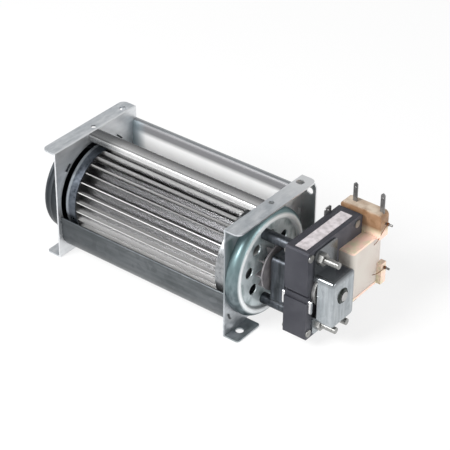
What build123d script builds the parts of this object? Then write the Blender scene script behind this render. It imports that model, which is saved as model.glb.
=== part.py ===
"""Cross flow fan with a C-frame motor.

Millimetres, +Z up. X runs along the roll, the motor is at the +X end, and the air goes in at the front (-Y).
The origin is the middle of the rectangle of foot holes, on the underside of the feet.
"""
from build123d import *
from math import atan2, cos, degrees, hypot, radians, sin
import os

# Roll
roll_radius = 30.0
roll_length = 125.0
roll_sheet = 0.8
cap_rim_length = 8.0
cap_step_depth = 1.4
cap_step_radius = 17.0
blade_count = 28
blade_thickness = 0.5
blade_inner_radius = 21.5
blade_curve_radius = 7.0
blade_sweep_deg = 15.0
blade_rim_gap = 0.3
blade_tab_from = 0.3
blade_tab_to = 0.7
blade_tab_proud = 0.3
blade_slot_gap = 0.1

# Shafts and the hub that joins the roll to the motor
shaft_radius = 3.0
press_gap = 0.01
running_gap = 0.03
rivet_flange_radius = 12.0
rivet_flange_thickness = 1.5
stub_spigot_radius = 6.0
hub_radius = 8.0
hub_length = 8.0
grub_radius = 1.5
grub_seat_depth = 0.5
grub_socket_radius = 0.85

# End plates
plate_sheet = 1.0
roll_end_gap = 2.0
plate_front_margin = 3.5
plate_back_margin = 3.5
plate_top_margin = 8.4
flange_width = 10.0
flange_corner_radius = 4.0
plate_hole_gap = 1.3
foot_depth = 22.0
foot_hole_inset = 9.5
foot_hole_reach = 4.0
foot_hole_radius = 2.5
foot_corner_radius = 2.0
belly_relief = 1.5
back_flange_start = 12.0
flange_hole_reach = 3.0
flange_hole_large_radius = 2.6
flange_hole_large_inset = 7.4
flange_hole_small_radius = 1.75
flange_hole_small_inset = 35.7
back_hole_radius = 2.25
back_hole_reach = 5.75
back_hole_drop = 8.2
bend_radius = 0.6

# Scroll casing and tongue
casing_sheet = 0.8
casing_clearance = 3.0
bottom_gap = 4.0
front_gap = 1.0
back_gap = 7.0
lip_below_axis = 8.8
lip_return = 3.5
lip_hem_gap = 0.5
front_bend_radius = 15.0
wall_top_below_plate = 9.0
wall_flange = 3.5
tongue_lip_depth = 4.0
tongue_front_offset = -4.5
tongue_flange = 10.0
tongue_wall = 4.7
tongue_tail_reach = 4.0
tongue_tail_drop = 2.2
sheet_bend = 1.6
tab_width = 4.0
front_tab_deg = 22.0
back_tab_deg = 58.0
tab_proud = 0.8
tab_slot_gap = 0.15

# Cups on the outside of the end plates
cup_sheet = 0.8
cup_margin = 3.0
cup_tab_sweep_deg = 9.0
cup_tab_count = 4
left_cup_depth = 12.0
left_cup_step_depth = 6.0
left_cup_step = 1.5
left_dish_inset = 12.3
left_dish_depth = 1.5
right_cup_depth = 7.8
right_shoulder_radius = 4.5
right_rim_inset = 5.9
right_floor_recess = 2.3
shaft_clear_radius = 6.0
vent_count = 8
vent_radius = 3.6
vent_ring_radius = 18.6
vent_start_deg = 38.5
vent_bolt_margin_deg = 12.0

# Left bearing
rubber_hole_radius = 10.0
rubber_radius = 12.0
rubber_reach = 3.0
bush_radius = 6.0
bush_length = 8.0
bush_waist = 1.0
clip_thickness = 0.7
clip_radius = 5.0
clip_groove = 0.4
clip_end_gap = 0.4

# Motor stack
stack_thickness = 16.0
stack_half_height = 30.5
stack_front = 15.5
stack_back = 38.5
stack_corner = 1.0
rotor_radius = 11.0
air_gap = 0.4
bridge_recess_depth = 1.0
bridge_recess_height = 8.6
bridge_slot_depth = 2.4
bridge_slot_height = 1.2
pole_gap = 1.6
window_front = 15.5
window_half_height = 17.5
leg_width = 12.0
leg_key_depth = 1.5
leg_key_width = 5.0
leg_key_flare = 1.2
motor_standoff = 21.5
rivet_radius = 1.5
rivet_head_radius = 2.4
rivet_head_height = 0.7
rivet_front_inset = 2.7
rivet_back_inset = 5.5
rivet_edge_inset = 4.2

# Rotor
end_ring_length = 2.2
end_ring_width = 3.0

# Coil
bobbin_wall = 1.0
bobbin_gap = 0.15
bobbin_flange = 1.5
winding_thickness = 7.6
tape_thickness = 0.4
flange_over_tape = 0.3
holder_start = -8.5
holder_end = 20.0
holder_depth = 8.0
holder_height = 15.5
terminal_width = 2.8
terminal_thickness = 0.8
terminal_height = 12.5
terminal_start = -1.2
terminal_spacing = 19.0
terminal_hole_radius = 0.6
terminal_seat = 6.0
pin_radius = 0.7
pin_length = 7.0
pin_seat = 3.0
pin_post = 5.0
pin_post_height = 13.0
pin_low_inset = 3.0
pin_high_inset = 7.5

# Shading rings
shade_wire_radius = 1.0
shade_reach = 13.1
shade_low = 3.6
shade_high = 10.6
shade_end_gap = 0.1

# Motor brackets
bracket_sheet = 1.2
bracket_rise = 14.3
bracket_width = 22.0
bracket_centre_offset = 1.0
bracket_top = 13.0
bracket_bottom = 19.0
bracket_corner = 3.0
bracket_side_gap = 3.5
bracket_foot_reach = 29.0
motor_bush_radius = 5.0
motor_bush_length = 6.0
motor_bush_proud = 1.0
retainer_radius = 8.5
retainer_sheet = 0.5
retainer_leg_count = 6
thrust_washer_thickness = 0.5
thrust_washer_radius = 5.0

# Bolts
bolt_radius = 2.0
bolt_hole_gap = 0.15
bolt_head_radius = 3.5
bolt_head_height = 2.4
bolt_offset_y = -4.5
bolt_offset_z = 22.8
bolt_pitch_y = 11.0
bolt_end_past_stack = 14.0
nut_flats = 7.0
nut_height = 3.2
spacer_radius = 3.5

# Cooling fan
fan_radius = 15.0
fan_width = 5.0
fan_disc = 1.0
fan_hub_radius = 6.0
fan_vane_count = 10
fan_vane_thickness = 0.9
fan_cup_gap = 1.8

# Earth tab and the blank strip on the stack
earth_plate_width = 9.0
earth_plate_height = 9.0
earth_sheet = 0.8
earth_blade_width = 6.3
earth_blade_height = 4.0
earth_from_back = 12.0
earth_hole_radius = 0.8
strip_thickness = 0.3
strip_width = 8.0
strip_inset = 4.8
strip_front_inset = 3.0
strip_back_inset = 6.0

# Places worked out from the sizes above
cap_outer_x = roll_length / 2
cap_inner_x = cap_outer_x - roll_sheet
step_outer_x = cap_outer_x - cap_step_depth
step_inner_x = step_outer_x - roll_sheet
plate_inner_x = cap_outer_x + roll_end_gap
plate_outer_x = plate_inner_x + plate_sheet
plate_hole_radius = roll_radius + plate_hole_gap
cup_radius = plate_hole_radius + cup_margin
left_dish_radius = cup_radius - left_dish_inset
right_rim_radius = cup_radius - right_rim_inset
plate_depth = plate_front_margin + front_gap + 2 * roll_radius + back_gap + plate_back_margin
plate_front_y = -plate_depth / 2
plate_back_y = plate_depth / 2
axis_y = plate_front_y + plate_front_margin + front_gap + roll_radius
axis_z = casing_clearance + bottom_gap + roll_radius
plate_top_z = axis_z + roll_radius + plate_top_margin
casing_front_y = axis_y - roll_radius - front_gap
casing_back_y = axis_y + roll_radius + back_gap
casing_bottom_z = axis_z - roll_radius - bottom_gap
right_floor_x = plate_outer_x + right_cup_depth - right_floor_recess
stack_left_x = right_floor_x + motor_standoff + bracket_sheet
stack_right_x = stack_left_x + stack_thickness
stack_mid_x = (stack_left_x + stack_right_x) / 2
stack_front_y = axis_y - stack_front
stack_back_y = axis_y + stack_back
stack_top_z = axis_z + stack_half_height
bore_radius = rotor_radius + air_gap
bolt_places = [
    (bolt_offset_y, bolt_offset_z),
    (bolt_offset_y, -bolt_offset_z),
    (bolt_offset_y + bolt_pitch_y, -bolt_offset_z),
]
bolt_hole_radius = bolt_radius + bolt_hole_gap
outer_face_x = stack_right_x + bracket_rise
inner_face_x = stack_left_x - bracket_rise


def across(outline, x_start, x_end):
    """An outline drawn in (y, z), made solid from x_start to x_end."""
    return extrude(Plane.YZ.offset(x_start) * outline, amount=x_end - x_start)


def on_axis(shape):
    """Moves a shape made about the X axis onto the fan's axis."""
    return Pos(0, axis_y, axis_z) * shape


def turned(profile):
    """A profile drawn as (x, radius), turned about the fan's axis."""
    return on_axis(revolve(Plane.XZ * profile, Axis.X))


def disc(radius, x_start, x_end, y=0.0, z=0.0):
    """A round bar along X, placed from the fan's axis."""
    return on_axis(across(Pos(y, z) * Circle(radius), x_start, x_end))


def tube(outer, inner, x_start, x_end, y=0.0, z=0.0):
    """A round tube along X, placed from the fan's axis."""
    return on_axis(across(Pos(y, z) * (Circle(outer) - Circle(inner)), x_start, x_end))


def block(x0, x1, y0, y1, z0, z1):
    """A box given by its two corners."""
    return Pos(x0, y0, z0) * Box(x1 - x0, y1 - y0, z1 - z0, align=(Align.MIN, Align.MIN, Align.MIN))


def sheet(points, bends, thickness, side):
    """The section of a folded sheet: a path with round bends, thickened to one side."""
    path = FilletPolyline(*points, radius=bends)
    return make_face(Wire(path.edges()).offset_2d(thickness, side=side, closed=True).edges())


def arc_strip(radius, thickness, middle_deg, sweep_deg):
    """A short piece of a ring, its outer edge at radius."""
    arc = CenterArc((0, 0), radius, middle_deg - sweep_deg / 2, sweep_deg)
    return make_face(Wire([arc]).offset_2d(thickness, side=Side.LEFT, closed=True).edges())


def save(name, *solids):
    """Writes one sub-part, of one or several solids."""
    shapes = [solid for shape in solids for solid in shape.solids()]
    export_step(shapes[0] if len(shapes) == 1 else Compound(shapes), f"parts/{name}.step")


def casing_section():
    """The scroll's outer face as a path: a hemmed front lip, the belly, the back wall and its top flange."""
    lip_z = axis_z - lip_below_axis
    wall_z = plate_top_z - wall_top_below_plate
    hem_y = casing_front_y - casing_sheet - lip_hem_gap
    points = [
        (hem_y, lip_z - lip_return),
        (hem_y, lip_z),
        (casing_front_y - casing_sheet, lip_z),
        (casing_front_y - casing_sheet, casing_bottom_z - casing_sheet),
        (casing_back_y + casing_sheet, casing_bottom_z - casing_sheet),
        (casing_back_y + casing_sheet, wall_z),
        (casing_back_y + wall_flange, wall_z),
    ]
    hem = lip_hem_gap / 2 - 0.01
    bends = [hem, hem, front_bend_radius + casing_sheet, roll_radius + bottom_gap + casing_sheet, sheet_bend]
    return points, bends


def folded_casing():
    """The casing's section as one closed face."""
    points, bends = casing_section()
    scroll = sheet(points[2:], bends[2:], casing_sheet, Side.LEFT)
    return_y = points[2][1]
    lip = make_face(
        Polyline(
            (casing_front_y, return_y),
            (casing_front_y - 2 * casing_sheet, return_y),
            (casing_front_y - 2 * casing_sheet, return_y - lip_return),
            (casing_front_y - casing_sheet, return_y - lip_return),
            (casing_front_y - casing_sheet, return_y),
            close=True,
        ).edges()
    )
    roll_over = Pos(casing_front_y - casing_sheet, return_y) * Circle(casing_sheet)
    return scroll + lip + roll_over


def tongue_section():
    """The tongue: a lip turned down, the top flange, the outlet's front wall and the tail by the roll."""
    front_y = axis_y + tongue_front_offset
    wall_y = front_y + tongue_flange
    points = [
        (front_y, plate_top_z - tongue_lip_depth),
        (front_y, plate_top_z),
        (wall_y, plate_top_z),
        (wall_y, plate_top_z - tongue_wall),
        (wall_y + tongue_tail_reach, plate_top_z - tongue_wall - tongue_tail_drop),
    ]
    return sheet(points, [sheet_bend] * 3, casing_sheet, Side.RIGHT)


def casing_tabs():
    """Sections of the tabs that pass through slots in the end plates."""
    scroll = folded_casing()
    front_centre_y = casing_front_y + front_bend_radius
    front_centre_z = casing_bottom_z + front_bend_radius
    back_radius = roll_radius + bottom_gap
    front_turn = radians(front_tab_deg)
    back_turn = radians(back_tab_deg)
    front_y = front_centre_y - front_bend_radius * cos(front_turn)
    front_z = front_centre_z - front_bend_radius * sin(front_turn)
    back_y = casing_back_y - back_radius * (1 - cos(back_turn))
    back_z = axis_z - back_radius * sin(back_turn)
    spots = [(front_y, front_z), (back_y, back_z), (casing_back_y, axis_z + roll_radius / 2)]
    return [scroll & (Pos(y, z) * Rectangle(tab_width, tab_width)) for y, z in spots]


def tongue_tabs():
    """The tongue's tab: the middle of its wall."""
    wall_y = axis_y + tongue_front_offset + tongue_flange
    middle_z = plate_top_z - tongue_wall / 2 - sheet_bend / 2
    return [tongue_section() & (Pos(wall_y, middle_z) * Rectangle(tab_width, tongue_wall / 2))]


def cup_tab_angles():
    """Where the cups' tabs stand, midway between the axes."""
    return [45 + 360 * k / cup_tab_count for k in range(cup_tab_count)]


def make_plate():
    """The right-hand end plate: a sheet with a top flange, a back flange and two feet turned outward."""
    outline = Pos(0, plate_top_z / 2) * Rectangle(plate_depth, plate_top_z)
    belly = Pos(0, belly_relief / 2) * Rectangle(plate_depth - 2 * foot_depth, belly_relief)
    outline = outline - belly - Pos(axis_y, axis_z) * Circle(plate_hole_radius)
    for tab in casing_tabs() + tongue_tabs():
        outline -= offset(tab, amount=tab_slot_gap)
    for angle in cup_tab_angles():
        tab = arc_strip(cup_radius, cup_sheet, angle, cup_tab_sweep_deg)
        outline -= Pos(axis_y, axis_z) * offset(tab, amount=tab_slot_gap)
    plate = across(outline, plate_inner_x, plate_outer_x)

    reach_x = plate_outer_x + flange_width
    top = block(plate_outer_x, reach_x, plate_front_y, plate_back_y, plate_top_z - plate_sheet, plate_top_z)
    top = fillet(top.edges().filter_by(Axis.Z).group_by(Axis.X)[-1], flange_corner_radius)
    back = block(plate_outer_x, reach_x, plate_back_y - plate_sheet, plate_back_y,
                 back_flange_start, plate_top_z - plate_sheet - bend_radius)
    back = fillet(back.edges().filter_by(Axis.Y).group_by(Axis.X)[-1], flange_corner_radius)
    plate += top + back
    for y in (plate_front_y, plate_back_y - foot_depth):
        foot = block(plate_outer_x, reach_x, y, y + foot_depth, 0, plate_sheet)
        plate += fillet(foot.edges().filter_by(Axis.Z).group_by(Axis.X)[-1], foot_corner_radius)

    hole_x = plate_outer_x + flange_hole_reach
    for inset, radius in (
        (flange_hole_large_inset, flange_hole_large_radius),
        (flange_hole_small_inset, flange_hole_small_radius),
    ):
        plate -= Pos(hole_x, plate_back_y - inset, plate_top_z) * Cylinder(radius, 4 * plate_sheet)
    for side in (-1, 1):
        y = side * (plate_back_y - foot_hole_inset)
        plate -= Pos(plate_outer_x + foot_hole_reach, y, 0) * Cylinder(foot_hole_radius, 4 * plate_sheet)
    back_hole = Rot(90, 0, 0) * Cylinder(back_hole_radius, 4 * plate_sheet)
    plate -= Pos(plate_outer_x + back_hole_reach, plate_back_y, plate_top_z - back_hole_drop) * back_hole
    inner_bends = plate.edges().filter_by(Axis.Y).filter_by_position(Axis.X, plate_outer_x, plate_outer_x)
    inner_bends = inner_bends.filter_by_position(Axis.Z, plate_top_z - plate_sheet, plate_top_z - plate_sheet)
    return fillet(inner_bends, bend_radius)


def make_casing():
    """The scroll casing with its tabs."""
    shell = across(folded_casing(), -plate_inner_x, plate_inner_x)
    reach = plate_outer_x + tab_proud
    for tab in casing_tabs():
        shell += across(tab, -reach, reach)
    return shell


def make_tongue():
    """The tongue sheet with its tabs."""
    shell = across(tongue_section(), -plate_inner_x, plate_inner_x)
    reach = plate_outer_x + tab_proud
    for tab in tongue_tabs():
        shell += across(tab, -reach, reach)
    return shell


def cup_tabs(side):
    """The cup's tabs, staked through the end plate on one side of the fan."""
    near, far = sorted((side * plate_outer_x, side * (plate_inner_x - tab_proud)))
    strips = [arc_strip(cup_radius, cup_sheet, angle, cup_tab_sweep_deg) for angle in cup_tab_angles()]
    return [on_axis(across(strip, near, far)) for strip in strips]


def make_left_cup():
    """The deep cup that carries the left bearing: a stepped wall and a dished floor."""
    floor_x = -(plate_outer_x + left_cup_depth)
    step_x = -(plate_outer_x + left_cup_step_depth)
    points = [
        (-plate_outer_x, cup_radius),
        (step_x, cup_radius),
        (step_x, cup_radius - left_cup_step),
        (floor_x, cup_radius - left_cup_step),
        (floor_x, left_dish_radius),
        (floor_x + left_dish_depth, left_dish_radius - left_dish_depth),
        (floor_x + left_dish_depth, rubber_hole_radius),
    ]
    cup = turned(sheet(points, [1.0, 0.4, 1.5, 1.0, 1.0], cup_sheet, Side.LEFT))
    for tab in cup_tabs(-1):
        cup += tab
    return cup


def vent_angles():
    """The vent holes' angles, with none where a motor bolt passes."""
    bolts = [degrees(atan2(z, y)) % 360 for y, z in bolt_places]
    angles = [vent_start_deg + k * 360 / vent_count for k in range(vent_count)]
    return [a for a in angles if min(abs(a - b) for b in bolts) > vent_bolt_margin_deg]


def make_right_cup():
    """The drawn cup on the motor's side: a round shoulder, a proud rim and a recessed floor with vents."""
    top_x = plate_outer_x + right_cup_depth
    points = [
        (plate_outer_x, cup_radius),
        (top_x, cup_radius),
        (top_x, right_rim_radius),
        (right_floor_x, right_rim_radius),
        (right_floor_x, shaft_clear_radius),
    ]
    cup = turned(sheet(points, [right_shoulder_radius, 1.1, 1.1], cup_sheet, Side.RIGHT))
    for tab in cup_tabs(1):
        cup += tab
    cut_from, cut_to = right_floor_x - 2 * cup_sheet, right_floor_x + cup_sheet
    for angle in vent_angles():
        y, z = vent_ring_radius * cos(radians(angle)), vent_ring_radius * sin(radians(angle))
        cup -= disc(vent_radius, cut_from, cut_to, y, z)
    for y, z in bolt_places:
        cup -= disc(bolt_hole_radius, cut_from, cut_to, y, z)
    return cup


def blade_line():
    """The blade's curve, from its inner edge to its outer one, drawn about the roll's axis."""
    outer = roll_radius - roll_sheet - blade_rim_gap
    sweep = radians(blade_sweep_deg)
    return RadiusArc((blade_inner_radius, 0), (outer * cos(sweep), outer * sin(sweep)), blade_curve_radius)


def thickened(edge, thickness):
    """A strip of even thickness along a curve."""
    return make_face(Wire([edge]).offset_2d(thickness, side=Side.LEFT, closed=True).edges())


def blade_tab():
    """The part of the blade's section that goes through the caps."""
    return thickened(blade_line().trim(blade_tab_from, blade_tab_to), blade_thickness)


def blade_angles():
    """The blades' angles round the roll."""
    return [360 * k / blade_count for k in range(blade_count)]


def make_blades():
    """The cage of curved blades, each with a tab at both ends."""
    blade = across(thickened(blade_line(), blade_thickness), -cap_inner_x, cap_inner_x)
    tab_end = cap_outer_x + blade_tab_proud
    blade += across(blade_tab(), -tab_end, tab_end)
    return [on_axis(Rot(angle, 0, 0) * blade) for angle in blade_angles()]


def make_cap(side, hole_radius):
    """A roll end cap: a pressed disc with a rim over the blades and a slot for each blade's tab."""
    points = [
        (cap_outer_x - cap_rim_length, roll_radius),
        (cap_outer_x, roll_radius),
        (cap_outer_x, cap_step_radius + cap_step_depth),
        (step_outer_x, cap_step_radius),
        (step_outer_x, hole_radius),
    ]
    cap = turned(sheet(points, [1.0, 1.0, 1.0], roll_sheet, Side.RIGHT))
    if side < 0:
        cap = mirror(cap, about=Plane.YZ)
    slot = offset(blade_tab(), amount=blade_slot_gap)
    near, far = sorted((side * (cap_inner_x - roll_sheet), side * (cap_outer_x + roll_sheet)))
    cutter = across(slot, near, far)
    for angle in blade_angles():
        cap -= on_axis(Rot(angle, 0, 0) * cutter)
    return cap


def make_stub_shaft():
    """The left shaft: a riveting flange, a spigot through the cap and the journal with a clip groove."""
    flange = disc(rivet_flange_radius, -step_inner_x, -step_inner_x + rivet_flange_thickness)
    spigot = disc(stub_spigot_radius, -step_outer_x - blade_tab_proud, -step_inner_x)
    journal = disc(shaft_radius, stub_end_x, -step_inner_x)
    groove = tube(shaft_radius + 1, shaft_radius - clip_groove, clip_x, clip_x + clip_thickness)
    return flange + spigot + journal - groove


def make_rubber():
    """The rubber ring that holds the left bush in the cup's floor."""
    floor_out = -(plate_outer_x + left_cup_depth) + left_dish_depth
    floor_in = floor_out + cup_sheet
    ring = tube(rubber_radius, bush_radius, floor_out - rubber_reach, floor_in + rubber_reach)
    ring = fillet(ring.edges().filter_by(GeomType.CIRCLE).sort_by(SortBy.RADIUS)[-2:], 1.0)
    return ring - tube(rubber_radius + 1, rubber_hole_radius, floor_out, floor_in)


def make_bush(middle_x, length, radius):
    """A sintered bush, barrel shaped so that it lines itself up, bored for the shaft."""
    half = length / 2
    bore = shaft_radius + running_gap
    edges = [
        Line((-half, bore), (-half, radius - bush_waist)),
        ThreePointArc((-half, radius - bush_waist), (0, radius), (half, radius - bush_waist)),
        Line((half, radius - bush_waist), (half, bore)),
        Line((half, bore), (-half, bore)),
    ]
    return turned(Pos(middle_x, 0) * make_face(edges))


def make_hub():
    """The hub riveted to the right cap, bored for the motor shaft and tapped for a grub screw."""
    flange = disc(rivet_flange_radius, step_inner_x - rivet_flange_thickness, step_inner_x)
    boss = disc(hub_radius, step_inner_x - rivet_flange_thickness, step_outer_x + hub_length)
    bore = disc(shaft_radius + press_gap, 0, plate_outer_x + right_cup_depth)
    tapped = Pos(grub_x, axis_y, axis_z + hub_radius / 2) * Cylinder(grub_radius, 2 * hub_radius)
    hub = flange + boss - bore
    return hub - (tapped & block(0, roll_length, -roll_length, roll_length, axis_z, 2 * plate_top_z))


def make_grub():
    """The grub screw, its cup point on the shaft and a hex socket in its head."""
    length = hub_radius - shaft_radius - grub_seat_depth
    middle = Pos(grub_x, axis_y, axis_z + shaft_radius + length / 2)
    socket = extrude(RegularPolygon(grub_socket_radius, 6), amount=length / 2)
    return middle * (Cylinder(grub_radius - press_gap, length) - socket)


def make_fan():
    """The small cooling fan: a hub, a back disc and straight vanes."""
    start = right_floor_x + fan_cup_gap
    bore = shaft_radius + press_gap
    vanes = Circle(fan_hub_radius)
    vane_length = fan_radius - fan_hub_radius / 2
    vane_middle = (fan_radius + fan_hub_radius / 2) / 2
    for k in range(fan_vane_count):
        vane = Pos(vane_middle, 0) * Rectangle(vane_length, fan_vane_thickness)
        vanes += Rot(0, 0, 360 * k / fan_vane_count) * vane
    vanes = (vanes & Circle(fan_radius)) - Circle(bore)
    fan = on_axis(across(vanes, start, start + fan_width - fan_disc))
    return fan + tube(fan_radius, bore, start + fan_width - fan_disc, start + fan_width)


def leg_key(grow):
    """The dovetail that joins the core leg to an arm, drawn at the upper arm."""
    base = axis_z + window_half_height
    middle = stack_back_y - leg_width / 2
    half = leg_key_width / 2 + grow
    tip = half + leg_key_flare / 2
    return make_face(
        Polyline(
            (middle - half, base),
            (middle + half, base),
            (middle + tip, base + leg_key_depth + grow),
            (middle - tip, base + leg_key_depth + grow),
            close=True,
        ).edges()
    )


def flipped(outline):
    """The same outline turned upside down about the fan's axis."""
    return Pos(0, 2 * axis_z) * mirror(outline, about=Plane.XZ)


def stack_rivet_places():
    """Where rivets hold the laminations together, from the fan's axis."""
    front = -stack_front + rivet_front_inset
    back = stack_back - rivet_back_inset
    height = stack_half_height - rivet_edge_inset
    return [(front, height), (front, -height), (back, height), (back, -height)]


def shade_places():
    """The two legs of each shading ring, from the fan's axis: the lower front ring first."""
    return [[(side * shade_reach, side * z) for z in (shade_low, shade_high)] for side in (-1, 1)]


def make_stack():
    """The C-shaped lamination stack: two arms, the poles round the rotor, the thin bridge in front."""
    middle_y = (stack_front_y + stack_back_y) / 2
    outline = Pos(middle_y, axis_z) * Rectangle(stack_front + stack_back, 2 * stack_half_height)
    outline = chamfer(outline.vertices(), stack_corner)
    window_y = axis_y + window_front
    window_width = stack_back_y - window_y + stack_corner
    outline -= Pos(window_y + window_width / 2, axis_z) * Rectangle(window_width, 2 * window_half_height)
    outline -= Pos(axis_y, axis_z) * Circle(bore_radius)
    outline -= Pos((axis_y + window_y) / 2, axis_z) * Rectangle(window_front, pole_gap)
    recess_y = stack_front_y + bridge_recess_depth / 2
    outline -= Pos(recess_y, axis_z) * Rectangle(bridge_recess_depth, bridge_recess_height)
    slot_y = stack_front_y + bridge_slot_depth / 2
    outline -= Pos(slot_y, axis_z) * Rectangle(bridge_slot_depth, bridge_slot_height)
    key = leg_key(press_gap)
    outline = outline - key - flipped(key)
    for y, z in bolt_places:
        outline -= Pos(axis_y + y, axis_z + z) * Circle(bolt_hole_radius)
    for y, z in stack_rivet_places():
        outline -= Pos(axis_y + y, axis_z + z) * Circle(rivet_radius)
    for legs in shade_places():
        for y, z in legs:
            outline -= Pos(axis_y + y, axis_z + z) * Circle(shade_wire_radius + press_gap)
    return across(outline, stack_left_x, stack_right_x)


def make_core_leg():
    """The leg inside the coil, keyed into both arms."""
    height = 2 * window_half_height
    outline = Pos(stack_back_y - leg_width / 2, axis_z) * Rectangle(leg_width, height)
    key = leg_key(0)
    return across(outline + key + flipped(key), stack_left_x, stack_right_x)


def make_rivets():
    """The rivets through the laminations, a low head at each end."""
    rivets = []
    for y, z in stack_rivet_places():
        shank = disc(rivet_radius, stack_left_x, stack_right_x, y, z)
        left = disc(rivet_head_radius, stack_left_x - rivet_head_height, stack_left_x, y, z)
        right = disc(rivet_head_radius, stack_right_x, stack_right_x + rivet_head_height, y, z)
        rivets.append(shank + left + right)
    return rivets


def make_shading_rings():
    """One closed copper loop in each pole: two legs through the stack, joined across both faces."""
    rings = []
    for (y0, z0), (y1, z1) in shade_places():
        left = stack_left_x - shade_end_gap - shade_wire_radius
        right = stack_right_x + shade_end_gap + shade_wire_radius
        ring = None
        for y, z in ((y0, z0), (y1, z1)):
            leg = disc(shade_wire_radius, left - shade_wire_radius, right + shade_wire_radius, y, z)
            ring = leg if ring is None else ring + leg
        length = hypot(y1 - y0, z1 - z0)
        angle = degrees(atan2(z1 - z0, y1 - y0))
        bar = Pos((y0 + y1) / 2, (z0 + z1) / 2) * Rot(0, 0, angle) * Rectangle(length, 2 * shade_wire_radius)
        for x in (left, right):
            ring += on_axis(across(bar, x - shade_wire_radius, x + shade_wire_radius))
        rings.append(ring)
    return rings


def coil_outline(grow):
    """The outline of the coil's layers seen from above, grown from the core leg."""
    middle = (stack_mid_x, stack_back_y - leg_width / 2)
    return Pos(*middle) * Rectangle(stack_thickness + 2 * grow, leg_width + 2 * grow)


def upright(outline, z_start, z_end):
    """An outline drawn in (x, y), made solid from z_start to z_end."""
    return extrude(Plane.XY.offset(z_start) * outline, amount=z_end - z_start)


coil_low_z = axis_z - window_half_height + bobbin_gap
coil_high_z = axis_z + window_half_height - bobbin_gap
winding_low_z = coil_low_z + bobbin_flange
winding_high_z = coil_high_z - bobbin_flange
winding_inner = bobbin_gap + bobbin_wall
winding_outer = winding_inner + winding_thickness
tape_outer = winding_outer + tape_thickness
flange_outer = tape_outer + flange_over_tape
coil_back_y = stack_back_y + flange_outer
coil_right_x = stack_right_x + flange_outer
holder_left_x = stack_mid_x + holder_start
holder_right_x = stack_mid_x + holder_end
holder_low_z = coil_high_z
holder_top_z = holder_low_z + holder_height
holder_front_y = coil_back_y - holder_depth
terminal_y = coil_back_y - holder_depth / 2
terminal_xs = (stack_mid_x + terminal_start, stack_mid_x + terminal_start + terminal_spacing)
pin_y = coil_back_y - pin_post / 2
pin_zs = (winding_low_z + pin_post_height - pin_low_inset, holder_low_z + pin_high_inset)
grub_x = step_outer_x + hub_length * 0.6
left_bush_x = -(plate_outer_x + left_cup_depth) + left_dish_depth + cup_sheet / 2
clip_x = left_bush_x - bush_length / 2 - clip_end_gap - clip_thickness
stub_end_x = clip_x - clip_end_gap


def make_bobbin():
    """The coil former: a square tube, two flanges, the terminal holder and a post for the side pins."""
    corner = fillet(coil_outline(flange_outer).vertices(), 1.5)
    tube_out = upright(coil_outline(winding_inner), coil_low_z, coil_high_z)
    bobbin = tube_out + upright(corner, coil_low_z, winding_low_z)
    bobbin += upright(corner, winding_high_z, coil_high_z)
    holder = block(holder_left_x, holder_right_x, holder_front_y, coil_back_y, winding_high_z, holder_top_z)
    crown = holder.edges().filter_by(Axis.Y).group_by(Axis.Z)[-1]
    holder = fillet(crown, holder_height / 5)
    ear = block(coil_right_x - 2, holder_right_x, holder_front_y, coil_back_y, winding_high_z, holder_low_z)
    post = block(coil_right_x - 0.6, coil_right_x + pin_seat, coil_back_y - pin_post, coil_back_y,
                 coil_low_z, winding_low_z + pin_post_height)
    bobbin += holder + ear + post
    bobbin -= upright(coil_outline(bobbin_gap), coil_low_z - 1, coil_high_z + 1)
    for x in terminal_xs:
        bobbin -= block(x - terminal_width / 2, x + terminal_width / 2, terminal_y - terminal_thickness / 2,
                        terminal_y + terminal_thickness / 2, holder_top_z - terminal_seat, holder_top_z + 1)
    for z in pin_zs:
        bobbin -= Pos(coil_right_x + pin_seat, pin_y, z) * Rot(0, 90, 0) * Cylinder(pin_radius, 2 * pin_seat)
    return bobbin - winding_space()


def winding_space():
    """What the winding and its tape take up round the former."""
    outer = upright(fillet(coil_outline(tape_outer).vertices(), 3.0), winding_low_z, winding_high_z)
    return outer - upright(coil_outline(winding_inner), winding_low_z, winding_high_z)


def make_winding():
    """The copper winding as one body of the real coil's form."""
    outer = fillet(coil_outline(winding_outer).vertices(), 3.0 - tape_thickness)
    return upright(outer - coil_outline(winding_inner), winding_low_z, winding_high_z)


def make_tape():
    """The tape round the winding."""
    outer = fillet(coil_outline(tape_outer).vertices(), 3.0)
    inner = fillet(coil_outline(winding_outer).vertices(), 3.0 - tape_thickness)
    return upright(outer - inner, winding_low_z, winding_high_z)


def make_terminals():
    """The two blade terminals, each with its detent hole and a chamfered tip."""
    blades = []
    for x in terminal_xs:
        blade = block(x - terminal_width / 2, x + terminal_width / 2, terminal_y - terminal_thickness / 2,
                      terminal_y + terminal_thickness / 2, holder_top_z - terminal_seat,
                      holder_top_z + terminal_height)
        blade = chamfer(blade.edges().filter_by(Axis.Y).group_by(Axis.Z)[-1], 1.0)
        hole = Pos(x, terminal_y, holder_top_z + terminal_height - 3.0) * Rot(90, 0, 0)
        blades.append(blade - hole * Cylinder(terminal_hole_radius, 4 * terminal_thickness))
    return blades


def make_pins():
    """The side pins that the winding's ends are tied to."""
    pins = []
    for z in pin_zs:
        place = Pos(coil_right_x + pin_length / 2, pin_y, z) * Rot(0, 90, 0)
        pins.append(place * Cylinder(pin_radius, pin_length))
    return pins


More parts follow.
